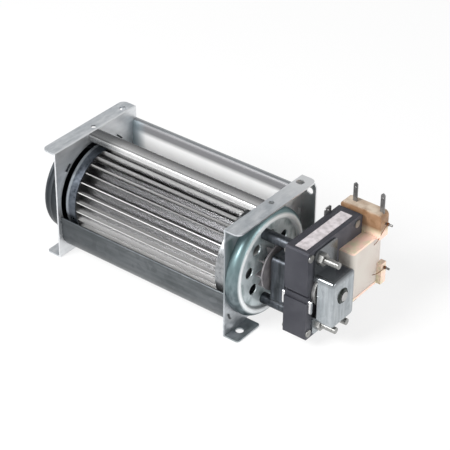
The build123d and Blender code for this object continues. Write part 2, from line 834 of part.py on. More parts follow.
def make_bracket():
    """The outer motor bracket: a pressed bridge over the rotor with a foot on each arm."""
    centre_y = axis_y + bracket_centre_offset
    centre_z = axis_z + (bracket_top - bracket_bottom) / 2
    height = bracket_top + bracket_bottom
    outer = fillet((Pos(centre_y, centre_z) * Rectangle(bracket_width, height)).vertices(), bracket_corner)
    inner = offset(outer, amount=-bracket_sheet)
    bridge = across(outer, stack_right_x, outer_face_x)
    rim = bridge.faces().sort_by(Axis.X)[-1].edges()
    bridge = fillet(rim, bracket_corner / 2)
    bridge -= across(inner, stack_right_x - 1, outer_face_x - bracket_sheet)
    side_clear = block(stack_right_x - 1, stack_right_x + bracket_side_gap, centre_y - bracket_width,
                       centre_y + bracket_width, centre_z - height / 2 + bracket_corner,
                       centre_z + height / 2 - bracket_corner)
    bridge -= side_clear
    foot_height = 2 * bracket_foot_reach
    feet = Pos(centre_y, axis_z) * Rectangle(bracket_width, foot_height)
    feet = fillet(feet.vertices(), bracket_corner)
    feet -= Pos(centre_y, centre_z) * Rectangle(2 * bracket_width, height - 2 * bracket_sheet)
    bracket = bridge + across(feet, stack_right_x, stack_right_x + bracket_sheet)
    for y, z in bolt_places:
        bracket -= disc(bolt_hole_radius, stack_right_x - 1, stack_right_x + 2 * bracket_sheet, y, z)
    return bracket - disc(motor_bush_radius, stack_right_x + bracket_side_gap, outer_face_x + 1)


def make_retainer():
    """The spring washer that holds the outer bush in its bracket, with slots between its legs."""
    seat_x = outer_face_x - bracket_sheet
    ring = Circle(retainer_radius) - Circle(motor_bush_radius + press_gap)
    for k in range(retainer_leg_count):
        slot = Pos(motor_bush_radius + 1.0, 0) * Rectangle(2.5, 1.2)
        ring -= Rot(0, 0, 360 * k / retainer_leg_count) * slot
    return on_axis(across(ring, seat_x - retainer_sheet, seat_x))


def facing(shape):
    """The copy on the stack's other side of a piece made for its right-hand face."""
    return Pos(2 * stack_mid_x, 0, 0) * mirror(shape, about=Plane.YZ)


def make_bolts():
    """The long bolts through the cup's floor, the spacers, both brackets and the stack."""
    bolts = []
    for y, z in bolt_places:
        head_end = right_floor_x - cup_sheet
        head = disc(bolt_head_radius, head_end - bolt_head_height, head_end, y, z)
        head = fillet(head.edges().group_by(Axis.X)[0], 1.2)
        slot = Pos(head_end - bolt_head_height, axis_y + y, axis_z + z) * Box(1.6, 2 * bolt_head_radius, 0.9)
        bolts.append(head - slot + disc(bolt_radius, head_end, stack_right_x + bolt_end_past_stack, y, z))
    return bolts


def make_nuts():
    """A hexagon nut on the outer bracket's feet for each bolt."""
    start = stack_right_x + bracket_sheet
    hexagon = RegularPolygon(nut_flats / 2, 6, major_radius=False) - Circle(bolt_radius + press_gap)
    return [on_axis(across(Pos(y, z) * hexagon, start, start + nut_height)) for y, z in bolt_places]


def make_spacers():
    """The tubes that hold the motor off the cup."""
    end = stack_left_x - bracket_sheet
    return [tube(spacer_radius, bolt_hole_radius, right_floor_x, end, y, z) for y, z in bolt_places]


def make_earth_tab():
    """The earth tab: a small plate on the stack's left-hand face with a blade standing up from it."""
    middle_y = stack_back_y - earth_from_back
    low_z = axis_z + window_half_height + 1.0
    plate = block(stack_left_x - earth_sheet, stack_left_x, middle_y - earth_plate_width / 2,
                  middle_y + earth_plate_width / 2, low_z, low_z + earth_plate_height)
    blade = block(stack_left_x - earth_sheet, stack_left_x, middle_y - earth_blade_width / 2,
                  middle_y + earth_blade_width / 2, low_z, stack_top_z + earth_blade_height)
    tab = plate + chamfer(blade.edges().filter_by(Axis.X).group_by(Axis.Z)[-1], earth_sheet)
    hole = Pos(stack_left_x, middle_y, stack_top_z + earth_blade_height / 2) * Rot(0, 90, 0)
    tab -= hole * Cylinder(earth_hole_radius, 4 * earth_sheet)
    for y, z in stack_rivet_places():
        tab -= disc(rivet_head_radius + press_gap, stack_left_x - 2, stack_left_x + 1, y, z)
    return tab


def make_strip():
    """The blank strip stuck along the top of the stack."""
    left = stack_left_x + strip_inset
    return block(left, left + strip_width, stack_front_y + strip_front_inset, stack_back_y - strip_back_inset,
                 stack_top_z, stack_top_z + strip_thickness)


def write_casing_parts():
    """The plates, the folded sheets and the cups."""
    plate = make_plate()
    save("right_end_plate", plate)
    save("left_end_plate", mirror(plate, about=Plane.YZ))
    save("scroll_casing", make_casing())
    save("tongue_sheet", make_tongue())
    save("left_bearing_cup", make_left_cup())
    save("motor_side_cup", make_right_cup())
    save("left_rubber_mount", make_rubber())
    save("left_bearing_bush", make_bush(left_bush_x, bush_length, bush_radius))


def write_roll_parts():
    """The roll, its shafts and what turns with it."""
    save("roll_blades", *make_blades())
    save("roll_left_cap", make_cap(-1, stub_spigot_radius + press_gap))
    save("roll_right_cap", make_cap(1, hub_radius + press_gap))
    save("left_stub_shaft", make_stub_shaft())
    clip = tube(clip_radius, shaft_radius - clip_groove + press_gap, clip_x, clip_x + clip_thickness)
    save("stub_shaft_clip", clip)
    save("roll_hub", make_hub())
    save("hub_grub_screw", make_grub())
    shaft_end = outer_face_x + motor_bush_proud + 0.5
    save("motor_shaft", disc(shaft_radius, step_inner_x - rivet_flange_thickness, shaft_end))
    save("rotor_core", tube(rotor_radius, shaft_radius + press_gap, stack_left_x, stack_right_x))
    rings = []
    for start in (stack_left_x - end_ring_length, stack_right_x):
        rings.append(tube(rotor_radius - 0.2, rotor_radius - end_ring_width, start, start + end_ring_length))
    save("rotor_end_rings", *rings)
    save("cooling_fan", make_fan())
    washers = []
    for start in (inner_bush_end, outer_bush_start - thrust_washer_thickness - running_gap):
        washers.append(tube(thrust_washer_radius, shaft_radius + press_gap, start,
                            start + thrust_washer_thickness))
    save("thrust_washers", *washers)


outer_bush_start = outer_face_x + motor_bush_proud - motor_bush_length
inner_bush_end = inner_face_x - motor_bush_proud + motor_bush_length + running_gap


def write_motor_parts():
    """The motor's fixed pieces."""
    save("stator_stack", make_stack())
    save("stack_rivets", *make_rivets())
    save("shading_rings", *make_shading_rings())
    save("coil_core_leg", make_core_leg())
    save("coil_bobbin", make_bobbin())
    save("coil_winding", make_winding())
    save("coil_tape", make_tape())
    save("blade_terminals", *make_terminals())
    save("winding_pins", *make_pins())
    bracket = make_bracket()
    save("outer_bracket", bracket)
    save("inner_bracket", facing(bracket))
    bush_x = outer_bush_start + motor_bush_length / 2
    bush = make_bush(bush_x, motor_bush_length, motor_bush_radius)
    save("outer_bearing_bush", bush)
    save("inner_bearing_bush", facing(bush))
    retainer = make_retainer()
    save("bush_retainers", retainer, facing(retainer))
    save("motor_bolts", *make_bolts())
    save("motor_nuts", *make_nuts())
    save("motor_spacers", *make_spacers())
    save("earth_tab", make_earth_tab())
    save("blank_strip", make_strip())


os.makedirs("parts", exist_ok=True)
write_casing_parts()
write_roll_parts()
write_motor_parts()
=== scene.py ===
# %% [markdown]
# # A cross flow fan, dressed for its portrait
#
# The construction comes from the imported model: every sheet, blade and bolt already stands in its real
# place. What is left for this script is how the fan looks: galvanised sheet, bright blades, dark
# laminations, and the small pieces that are too fine for the solids. Units are metres, +X runs along the
# roll towards the motor and -Y is the inlet.

from math import cos, pi, radians, sin

import bpy
from mathutils import Matrix, Vector


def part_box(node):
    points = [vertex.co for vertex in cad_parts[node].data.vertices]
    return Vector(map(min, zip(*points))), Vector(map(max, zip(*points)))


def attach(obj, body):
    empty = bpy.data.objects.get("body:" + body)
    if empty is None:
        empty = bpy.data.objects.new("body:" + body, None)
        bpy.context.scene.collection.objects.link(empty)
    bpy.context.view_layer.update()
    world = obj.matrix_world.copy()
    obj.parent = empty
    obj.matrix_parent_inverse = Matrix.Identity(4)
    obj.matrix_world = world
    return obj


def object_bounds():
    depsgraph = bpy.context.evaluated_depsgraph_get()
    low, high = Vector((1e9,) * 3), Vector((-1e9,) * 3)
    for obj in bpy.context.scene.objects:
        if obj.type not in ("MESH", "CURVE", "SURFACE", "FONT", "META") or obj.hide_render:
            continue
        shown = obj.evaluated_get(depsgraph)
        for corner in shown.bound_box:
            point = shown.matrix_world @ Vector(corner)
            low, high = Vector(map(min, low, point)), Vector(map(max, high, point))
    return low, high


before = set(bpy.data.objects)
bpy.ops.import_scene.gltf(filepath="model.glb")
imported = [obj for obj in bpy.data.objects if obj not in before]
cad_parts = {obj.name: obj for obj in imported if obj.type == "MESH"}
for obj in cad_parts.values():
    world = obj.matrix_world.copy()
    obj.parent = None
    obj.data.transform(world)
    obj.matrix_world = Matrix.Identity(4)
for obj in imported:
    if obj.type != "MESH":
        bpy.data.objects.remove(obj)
cad_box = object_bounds()
print("nodes:", len(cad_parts), "box:", [round(v, 4) for corner in cad_box for v in corner])

# %% [markdown]
# ## The camera
#
# The photograph was taken from the front, to the right and above, with a long lens: the fan's parallel
# edges hardly run together. A camera could be placed by hand until the edges agree. Here it stands on a
# sphere about a target near the fan's middle, so that two angles and a distance describe it, and it is
# rolled by half a degree.

# %% Camera
view_azimuth = radians(37.74)
view_elevation = radians(33.93)
view_roll = radians(0.56)
view_distance = 1.0422
view_target = Vector((0.0362, 0.0, 0.0471))
lens_mm = 140.18
sensor_mm = 36

towards_camera = Vector((
    sin(view_azimuth) * cos(view_elevation),
    -cos(view_azimuth) * cos(view_elevation),
    sin(view_elevation),
))
level_right = Vector((cos(view_azimuth), sin(view_azimuth), 0))
level_up = towards_camera.cross(level_right)
right = level_right * cos(view_roll) + level_up * sin(view_roll)
up = level_up * cos(view_roll) - level_right * sin(view_roll)
camera_turn = Matrix((right, up, towards_camera)).transposed().to_4x4()

camera_data = bpy.data.cameras.new("photo_camera")
camera_data.lens = lens_mm
camera_data.sensor_width = sensor_mm
camera_data.clip_end = 10
camera = bpy.data.objects.new("photo_camera", camera_data)
camera.matrix_world = Matrix.Translation(view_target + towards_camera * view_distance) @ camera_turn
bpy.context.scene.collection.objects.link(camera)
bpy.context.scene.camera = camera
print("camera at", [round(v, 3) for v in camera.location])

# %% [markdown]
# ## The world
#
# Bright metal has little colour of its own: it shows the room. The room here is a white studio. A picture
# of a studio could be wrapped round the scene, but a ramp over height is enough: the floor and the sky
# near the horizon are about as bright as white paper, and the sky darkens towards the ceiling. A metal's
# base colour then renders about as it is written.

# %% Helpers for shader nodes
def add_node(tree, kind, inputs=(), **settings):
    """Adds a shader node, sets its own values, and fills its inputs with values or links."""
    node = tree.nodes.new(kind)
    for name, value in settings.items():
        setattr(node, name, value)
    for key, value in dict(inputs).items():
        if isinstance(value, bpy.types.NodeSocket):
            tree.links.new(value, node.inputs[key])
        else:
            node.inputs[key].default_value = value
    return node


def ramp(tree, factor, stops):
    """A colour ramp from (place, grey or colour) stops."""
    node = add_node(tree, "ShaderNodeValToRGB", {0: factor})
    while len(node.color_ramp.elements) < len(stops):
        node.color_ramp.elements.new(0.5)
    for element, (place, colour) in zip(node.color_ramp.elements, stops):
        element.position = place
        element.color = (colour, colour, colour, 1) if isinstance(colour, (int, float)) else (*colour, 1)
    return node.outputs["Color"]


# %% World
bpy.context.scene.view_settings.view_transform = "Standard"
world = bpy.data.worlds.new("studio")
world.use_nodes = True
sky = world.node_tree
sky.nodes.clear()
direction = add_node(sky, "ShaderNodeTexCoord").outputs["Generated"]
height = add_node(sky, "ShaderNodeSeparateXYZ", {0: direction}).outputs["Z"]
height_01 = add_node(sky, "ShaderNodeMapRange", {"Value": height, "From Min": -1.0, "From Max": 1.0})
studio = ramp(sky, height_01.outputs[0],
              [(0.0, 0.6), (0.48, 0.8), (0.52, 1.0), (0.78, 0.92), (0.83, 0.3), (1.0, 0.1)])
lit = add_node(sky, "ShaderNodeBackground", {"Color": studio, "Strength": 1.0})
add_node(sky, "ShaderNodeOutputWorld", {"Surface": lit.outputs[0]})
bpy.context.scene.world = world
print("world:", world.name)

# %% [markdown]
# ## The lamps
#
# The white room alone would light the fan evenly and hide its form. Two square lamps tell its sides
# apart: the key lamp stands in front, to the left and above, and the side lamp stands low beyond the
# motor.

# %% Lamps
def area_lamp(name, place, size, power):
    """A square lamp that faces the fan's middle."""
    data = bpy.data.lights.new(name, "AREA")
    data.size = size
    data.energy = power
    lamp = bpy.data.objects.new(name, data)
    place = Vector(place)
    lamp.location = place
    lamp.rotation_euler = (view_target - place).to_track_quat("-Z", "Y").to_euler()
    bpy.context.scene.collection.objects.link(lamp)
    print(name, "at", [round(v, 2) for v in place])


area_lamp("key_lamp", place=(-0.25, -0.85, 0.8), size=0.5, power=17.0)
area_lamp("side_lamp", place=(1.2, 0.2, 0.25), size=0.6, power=6.0)

# %% [markdown]
# ## The ground
#
# The photograph's ground is plain white with a faint shadow. A floor that is only bright paper would
# render unevenly, so the camera and the fan's reflections see it mostly as an even white glow, and the
# part that stays paper keeps the shadow. To the light that falls on it and spreads from it, it is paper.

# %% Floor
floor_half = 3.0
floor_below = 0.0002
glow_share = 0.78
bpy.ops.object.select_all(action="DESELECT")
bpy.ops.mesh.primitive_plane_add(size=2 * floor_half, location=(0, 0, cad_box[0][2] - floor_below))
floor = bpy.context.object
floor.name = "floor"
floor_look = bpy.data.materials.new("white_floor")
floor_look.use_nodes = True
floor_tree = floor_look.node_tree
floor_tree.nodes.clear()
grain = add_node(floor_tree, "ShaderNodeTexNoise", {"Scale": 6.0, "Detail": 3.0})
tone = ramp(floor_tree, grain.outputs[0], [(0.0, 0.93), (1.0, 0.96)])
paper = add_node(floor_tree, "ShaderNodeBsdfDiffuse", {"Color": tone})
glow = add_node(floor_tree, "ShaderNodeEmission", {"Color": (1, 1, 1, 1), "Strength": 1.0})
paths = add_node(floor_tree, "ShaderNodeLightPath").outputs
seen = add_node(floor_tree, "ShaderNodeMath", {0: paths["Is Camera Ray"], 1: paths["Is Glossy Ray"]},
                operation="ADD")
seen = add_node(floor_tree, "ShaderNodeMath", {0: seen.outputs[0], 1: paths["Is Transmission Ray"]},
                operation="MAXIMUM")
share = add_node(floor_tree, "ShaderNodeMath", {0: seen.outputs[0], 1: glow_share}, operation="MULTIPLY")
blend = add_node(floor_tree, "ShaderNodeMixShader",
                 {0: share.outputs[0], 1: paper.outputs[0], 2: glow.outputs[0]})
add_node(floor_tree, "ShaderNodeOutputMaterial", {"Surface": blend.outputs[0]})
floor.data.materials.append(floor_look)
print("floor at", round(floor.location.z, 4))

# %% [markdown]
# ## Building blocks of a finish
#
# Every material on the fan is a Principled surface that reads object coordinates, so a pattern keeps its
# real size on every piece and needs no unwrapping. A few small helpers do the wiring: one for noise, one to
# mix two colours, one to spread a pattern's middle over the whole range, and one each for roughness and
# bump.

# %% Pattern helpers
black = (0.0, 0.0, 0.0)


def principled(name):
    """A new material with an empty Principled surface: returns the material, its tree and the shader."""
    look = bpy.data.materials.new(name)
    look.use_nodes = True
    tree = look.node_tree
    tree.nodes.clear()
    shader = add_node(tree, "ShaderNodeBsdfPrincipled")
    add_node(tree, "ShaderNodeOutputMaterial", {"Surface": shader.outputs[0]})
    return look, tree, shader


def object_place(tree, stretch=(1, 1, 1)):
    """Object coordinates, squeezed along each axis by the given numbers."""
    coordinates = add_node(tree, "ShaderNodeTexCoord").outputs["Object"]
    return add_node(tree, "ShaderNodeMapping", {"Vector": coordinates, "Scale": stretch}).outputs[0]


def axis_place(tree, axis):
    """The point's place along one axis, in metres."""
    return add_node(tree, "ShaderNodeSeparateXYZ", {0: object_place(tree)}).outputs[axis]


def mix_colour(tree, factor, first, second, mode="MIX"):
    """Mixes two colours."""
    node = add_node(tree, "ShaderNodeMix", data_type="RGBA", blend_type=mode)
    for key, value in ((0, factor), (6, first), (7, second)):
        if isinstance(value, bpy.types.NodeSocket):
            tree.links.new(value, node.inputs[key])
        elif key == 0:
            node.inputs[key].default_value = value
        else:
            node.inputs[key].default_value = (*value, 1)
    return node.outputs[2]


def both(tree, first, second):
    """A mask that is white only where both masks are."""
    return mix_colour(tree, first, black, second)


def noise(tree, scale, detail=3.0, stretch=(1, 1, 1)):
    """Noise in object space; scale is in cells per metre."""
    place = object_place(tree, stretch)
    pattern = add_node(tree, "ShaderNodeTexNoise", {"Vector": place, "Scale": scale, "Detail": detail})
    return pattern.outputs[0]


def spread(tree, pattern, low, high, top=1.0):
    """Stretches the pattern's values from low to high over black to top."""
    return ramp(tree, pattern, [(low, 0.0), (high, top)])


def waves(tree, axis, pitch):
    """Even waves along one axis, one for each pitch."""
    turns = add_node(tree, "ShaderNodeMath", {0: axis_place(tree, axis), 1: 2 * pi / pitch},
                     operation="MULTIPLY")
    return add_node(tree, "ShaderNodeMath", {0: turns.outputs[0]}, operation="SINE").outputs[0]


def roughen(tree, shader, pattern, low, high, start=0.25, end=0.75):
    """Roughness goes from low to high as the pattern goes from start to end."""
    rough = add_node(tree, "ShaderNodeMapRange", {"Value": pattern, "From Min": start, "From Max": end,
                                                  "To Min": low, "To Max": high})
    tree.links.new(rough.outputs[0], shader.inputs["Roughness"])


def bump(tree, shader, height, depth):
    """Bumps the surface; depth is in metres."""
    node = add_node(tree, "ShaderNodeBump", {"Height": height, "Distance": depth, "Strength": 1.0})
    tree.links.new(node.outputs[0], shader.inputs["Normal"])


def dress(look, *nodes):
    """Gives a material to CAD nodes."""
    for name in nodes:
        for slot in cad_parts[name].material_slots:
            slot.material = look
    print(look.name, "on", ", ".join(nodes))


# %% [markdown]
# ## Zinc-coated sheet
#
# The plates, the scroll and the cups are cold-rolled steel with a zinc coat. The coat freezes in faint
# flakes, the rollers leave streaks along the sheet, and handling adds fine scratches. All of that is
# colour and roughness at the scale of millimetres, so it is built from three patterns: cells for the
# flakes, stretched noise for the rolling, and fine noise for the scratches. A shade can then change the
# colour by place.

# %% Zinc finish
def zinc_sheet(name, light, dark, roughness, streak=(1, 1, 1), flake=260.0, metallic=0.85, shade=None):
    """Zinc-coated steel: frozen flakes, rolling streaks, fine scratches, and shade() on top."""
    look, tree, shader = principled(name)
    flakes = add_node(tree, "ShaderNodeTexVoronoi", {"Vector": object_place(tree), "Scale": flake})
    flake_tone = spread(tree, flakes.outputs["Color"], 0.2, 0.8)
    streaks = noise(tree, scale=420.0, detail=4.0, stretch=streak)
    clouds = noise(tree, scale=38.0, detail=2.0)
    scratches = noise(tree, scale=1400.0, detail=2.0, stretch=streak)
    base = mix_colour(tree, spread(tree, streaks, 0.3, 0.7), dark, light)
    base = mix_colour(tree, spread(tree, clouds, 0.35, 0.65, top=0.35), base, dark)
    base = mix_colour(tree, 0.12, base, flake_tone, "SOFT_LIGHT")
    shader.inputs["Metallic"].default_value = metallic
    if shade:
        base = shade(tree, shader, base)
    tree.links.new(base, shader.inputs["Base Color"])
    roughen(tree, shader, streaks, *roughness)
    bump(tree, shader, scratches, depth=0.00002)
    return look


# %% [markdown]
# ## Shades that know their place
#
# Light and shade fall on a metal in certain places: near an edge, round a rim, on the side that faces the
# roll.
# Most of the fades below paint that light and shade into the colour. Those places could be painted by hand
# on an image. Here the shader works them out from where the point is on the fan, so they follow the model.
# Each fade starts from an edge or radius that the parts' boxes give, and its stops are distances from there.

# %% Place helpers
cap_low, cap_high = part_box("roll_left_cap")
roll_axis = (0.0, (cap_low[1] + cap_high[1]) / 2, (cap_low[2] + cap_high[2]) / 2)
roll_radius = (cap_high[2] - cap_low[2]) / 2
print("roll's axis at", [round(v, 4) for v in roll_axis], "radius", round(roll_radius, 4))


def fade(tree, place, start, stops):
    """Tones that follow a place; stops are (metres past the start, tone) pairs."""
    first, last = stops[0][0], stops[-1][0]
    part = add_node(tree, "ShaderNodeMapRange", {"Value": place, "From Min": start + first,
                                                 "From Max": start + last}).outputs[0]
    return ramp(tree, part, [((at - first) / (last - first), tone) for at, tone in stops])


def along(tree, axis, start, stops):
    """A fade along one axis of the fan."""
    return fade(tree, axis_place(tree, axis), start, stops)


def away_from_axis(tree):
    """The arrow from the roll's axis to the point, square to the axis."""
    away = add_node(tree, "ShaderNodeVectorMath", {0: object_place(tree), 1: roll_axis},
                    operation="SUBTRACT")
    return add_node(tree, "ShaderNodeVectorMath", {0: away.outputs[0], 1: (0.0, 1.0, 1.0)},
                    operation="MULTIPLY").outputs[0]


def from_axis(tree, start, stops):
    """A fade outwards from the roll's axis; the start is a radius."""
    length = add_node(tree, "ShaderNodeVectorMath", {0: away_from_axis(tree)}, operation="LENGTH")
    return fade(tree, length.outputs["Value"], start, stops)


def faces_axis(tree):
    """White on faces that look towards the roll's axis, black on those that look away."""
    edge_softness = 0.002
    normal = add_node(tree, "ShaderNodeTexCoord").outputs["Normal"]
    outward = add_node(tree, "ShaderNodeVectorMath", {0: away_from_axis(tree), 1: normal},
                       operation="DOT_PRODUCT").outputs["Value"]
    return add_node(tree, "ShaderNodeMapRange", {"Value": outward, "From Min": edge_softness,
                                                 "From Max": -edge_softness}).outputs[0]


def less_metal(tree, shader, mask, metal, matt):
    """Metallic goes from one value to the other where the mask is white."""
    mixed = add_node(tree, "ShaderNodeMapRange", {"Value": mask, "To Min": metal, "To Max": matt}).outputs[0]
    tree.links.new(mixed, shader.inputs["Metallic"])


# %% [markdown]
# ## The end plates
#
# Both plates are pale zinc. Painted shade, with streaks in it, darkens the front of the right-hand plate
# between its top flange and its foot, painted light makes its back paler, and the left-hand plate is painted
# lighter on the side that faces the roll. One material serves both, because the place along the roll tells
# the plates apart.

# %% Plate finish
plate_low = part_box("right_end_plate")[0]
left_wall_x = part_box("left_end_plate")[1][0]


def plate_shade(tree, shader, base):
    """Painted shade on the right plate's front, painted light on its back and the left plate's inner face;
    the rest is pale zinc.
    """
    right_plate = along(tree, "X", 0.0, [(-0.06, 0.0), (0.05, 1.0)])
    front = along(tree, "Y", plate_low[1], [(0.0015, 1.0), (0.0175, 0.6), (0.0475, 0.0)])
    height = along(tree, "Z", plate_low[2], [(0.0, 0.6), (0.004, 0.0), (0.018, 0.0), (0.034, 1.0),
                                             (0.066, 1.0), (0.068, 0.0)])
    # Painted light: the left-hand plate's face towards the roll is made paler.
    left_wall_painted_light = along(tree, "X", left_wall_x, [(-0.002, 0.0), (-0.0005, 0.6), (0.0005, 0.6),
                                               (-left_wall_x, 0.0)])
    base = mix_colour(tree, left_wall_painted_light, base, (0.88, 0.89, 0.9))
    # Painted shade, with streaks, over the right-hand plate's front.
    front_painted_shade = both(tree, right_plate, both(tree, height, front))
    shade_streaks = spread(tree, noise(tree, scale=130.0, stretch=(1, 1, 0.12)), 0.42, 0.6)
    painted_shade_tone = mix_colour(tree, shade_streaks, (0.34, 0.36, 0.38), (0.13, 0.17, 0.17))
    base = mix_colour(tree, front_painted_shade, base, painted_shade_tone)
    # Painted light: the back of the right-hand plate is made paler.
    pale = both(tree, right_plate, along(tree, "Y", 0.0, [(0.0, 0.0), (0.03, 0.8)]))
    return mix_colour(tree, pale, base, (0.74, 0.75, 0.76))


plate_zinc = zinc_sheet("plate_zinc", light=(0.66, 0.68, 0.7), dark=(0.42, 0.45, 0.48),
                        roughness=(0.28, 0.46), streak=(1, 0.25, 1), shade=plate_shade)
dress(plate_zinc, "left_end_plate", "right_end_plate")

# %% [markdown]
# ## The scroll
#
# The scroll is one folded sheet, and the photograph shows it as three tones: dark in front, matt white
# inside the back wall, where it mirrors the white room, and grey along the wall's top edge. The dark front
# is painted shade in the sheet's base colour, darkest at the left end. A mirror would need the real room
# round it,
# so the white is a painted reflection: a paler, less metallic base there, and only on the side that faces
# the roll. The grey top edge and a blue-grey near the left-hand plate are painted shade. From behind the
# sheet is plain zinc.

# %% Scroll finish
scroll_low, scroll_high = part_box("scroll_casing")


def scroll_shade(tree, shader, base):
    """Painted shade darkens the front, most at its left end; a painted reflection whitens the back wall
    inside; grey zinc outside.
    """
    rear = along(tree, "Y", scroll_low[1], [(0.0016, 0.0), (0.0456, 1.0)])
    # Painted reflection: the inside of the back wall gets a near-white, less metallic base.
    inside = both(tree, faces_axis(tree), rear)
    less_metal(tree, shader, inside, metal=0.8, matt=0.1)
    # Painted shade: grey along the wall's top edge.
    below_edge = along(tree, "Z", scroll_high[2], [(-0.0082, 1.0), (-0.0052, 0.0)])
    wall = mix_colour(tree, below_edge, (0.24, 0.24, 0.25), (0.93, 0.93, 0.93))
    # Painted shade: blue-grey near the left-hand plate.
    near_plate = along(tree, "X", scroll_low[0], [(0.0008, 1.0), (0.0053, 0.8), (0.0123, 0.0)])
    wall = mix_colour(tree, near_plate, wall, (0.3, 0.37, 0.41))
    # Painted shade: the front darkens to near black towards its left end.
    left_end_painted_shade = along(tree, "X", scroll_low[0], [(0.0003, 0.6), (0.0363, 0.3), (0.0663, 0.0)])
    front = mix_colour(tree, left_end_painted_shade, base, (0.03, 0.035, 0.04))
    outside = mix_colour(tree, 0.3, (0.46, 0.48, 0.5), base)
    front = mix_colour(tree, rear, front, outside)
    return mix_colour(tree, inside, front, wall)


# The scroll's dark base is painted shade on its front.
scroll_zinc = zinc_sheet("scroll_zinc", light=(0.15, 0.16, 0.17), dark=(0.08, 0.09, 0.095),
                         roughness=(0.3, 0.45), streak=(0.08, 1, 1), metallic=0.6, shade=scroll_shade)
dress(scroll_zinc, "scroll_casing")

# %% [markdown]
# ## The tongue
#
# The tongue is the narrow sheet between inlet and outlet. Its lip is bright, and painted shade darkens its
# top towards the back edge and towards the left end. Two fades over a bright zinc are
# enough.

# %% Tongue finish
tongue_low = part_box("tongue_sheet")[0]


def tongue_shade(tree, shader, base):
    """Painted shade darkens the tongue's top towards its back edge and towards its left end."""
    # Painted shade towards the back edge.
    back_edge_painted_shade = along(tree, "Y", tongue_low[1], [(0.0, 0.1), (0.0045, 0.6), (0.0085, 0.95), (0.0105, 0.8)])
    base = mix_colour(tree, back_edge_painted_shade, base, (0.05, 0.05, 0.055))
    # Painted shade towards the left end.
    left_end_painted_shade = along(tree, "X", tongue_low[0], [(0.0003, 0.85), (0.0163, 0.7), (0.0283, 0.0)])
    return mix_colour(tree, left_end_painted_shade, base, (0.06, 0.065, 0.07))


tongue_zinc = zinc_sheet("tongue_zinc", light=(0.86, 0.86, 0.86), dark=(0.7, 0.7, 0.7),
                         roughness=(0.2, 0.34), streak=(0.08, 1, 1), shade=tongue_shade)
dress(tongue_zinc, "tongue_sheet")

# %% [markdown]
# ## The cups
#
# Both cups are pressed. The deep left-hand one is nearly black, with painted light in pale rings along its
# depth.
# The right-hand one is blue-green from its bath: a painted highlight brightens its pressed rim, its floor is
# painted pale, with patches, and painted shade darkens its shoulder and upper half. The rings follow the
# depth of the one cup and the radius of the other.

# %% Cup finishes
left_cup_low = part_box("left_bearing_cup")[0]
right_cup_low, right_cup_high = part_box("motor_side_cup")
right_cup_radius = (right_cup_high[2] - right_cup_low[2]) / 2


def ring_shade(tree, shader, base):
    """Painted light and shade in pale and dark rings along the deep cup's wall."""
    # Painted light and shade: pale and dark rings along the cup's depth.
    rings = along(tree, "X", left_cup_low[0], [(-0.0015, 0.1), (0.001, 0.75), (0.003, 0.0), (0.005, 0.6),
                                               (0.0075, 0.0), (0.0115, 0.3)])
    return mix_colour(tree, rings, base, (0.085, 0.095, 0.106))


def rim_painted_light(tree, floor_tone):
    """White on the pressed rim, the given tone on the floor inside it and black on the shoulder."""
    return from_axis(tree, right_cup_radius, [(-0.0071, floor_tone), (-0.0059, 1.0), (-0.0035, 1.0),
                                              (-0.0021, 0.0)])


def cup_shade(tree, shader, base):
    """A painted highlight brightens the pressed rim, the floor is painted pale with patches, and painted
    shade darkens the shoulder and upper half.
    """
    # The rim, and the floor in part, are made less metallic so that they render as painted light.
    less_metal(tree, shader, rim_painted_light(tree, floor_tone=0.6), metal=0.85, matt=0.3)
    # Painted shade darkens the cup's upper half.
    upper = along(tree, "Z", roll_axis[2], [(-0.007, 0.0), (0.018, 1.0)])
    base = mix_colour(tree, upper, base, (0.15, 0.22, 0.23))
    patches = spread(tree, noise(tree, scale=150.0, detail=4.0, stretch=(1, 1, 0.6)), 0.45, 0.62, top=0.7)
    # Painted light: the floor is pale, with darker patches.
    pale = mix_colour(tree, patches, (0.76, 0.84, 0.86), (0.22, 0.31, 0.32))
    cup_floor = from_axis(tree, right_cup_radius, [(-0.0071, 1.0), (-0.0061, 0.0)])
    base = mix_colour(tree, cup_floor, base, pale)
    # Painted highlight: the rim is near white; the shoulder keeps the darker base as painted shade.
    return mix_colour(tree, rim_painted_light(tree, floor_tone=0.0), base, (0.9, 0.93, 0.94))


left_cup_zinc = zinc_sheet("left_cup_zinc", light=(0.04, 0.046, 0.053), dark=(0.01, 0.012, 0.014),
                           roughness=(0.3, 0.45), streak=(2.0, 0.2, 0.2), shade=ring_shade)
# The right-hand cup's darker base, kept on its shoulder, is painted shade.
right_cup_zinc = zinc_sheet("right_cup_zinc", light=(0.24, 0.29, 0.31), dark=(0.08, 0.11, 0.12),
                            roughness=(0.34, 0.5), streak=(1, 0.5, 0.5), shade=cup_shade)
dress(left_cup_zinc, "left_bearing_cup")
dress(right_cup_zinc, "motor_side_cup")

# %% [markdown]
# ## The roll
#
# The blades are bright rolled aluminium, and the caps are pressed steel. The blades mirror each other and
# the room, which makes the photograph's stripes by itself, so the finish stays smooth with a fine streak
# along the blade. Inside the cage less of the white room reaches them: a darker base there keeps the
# stripes apart.

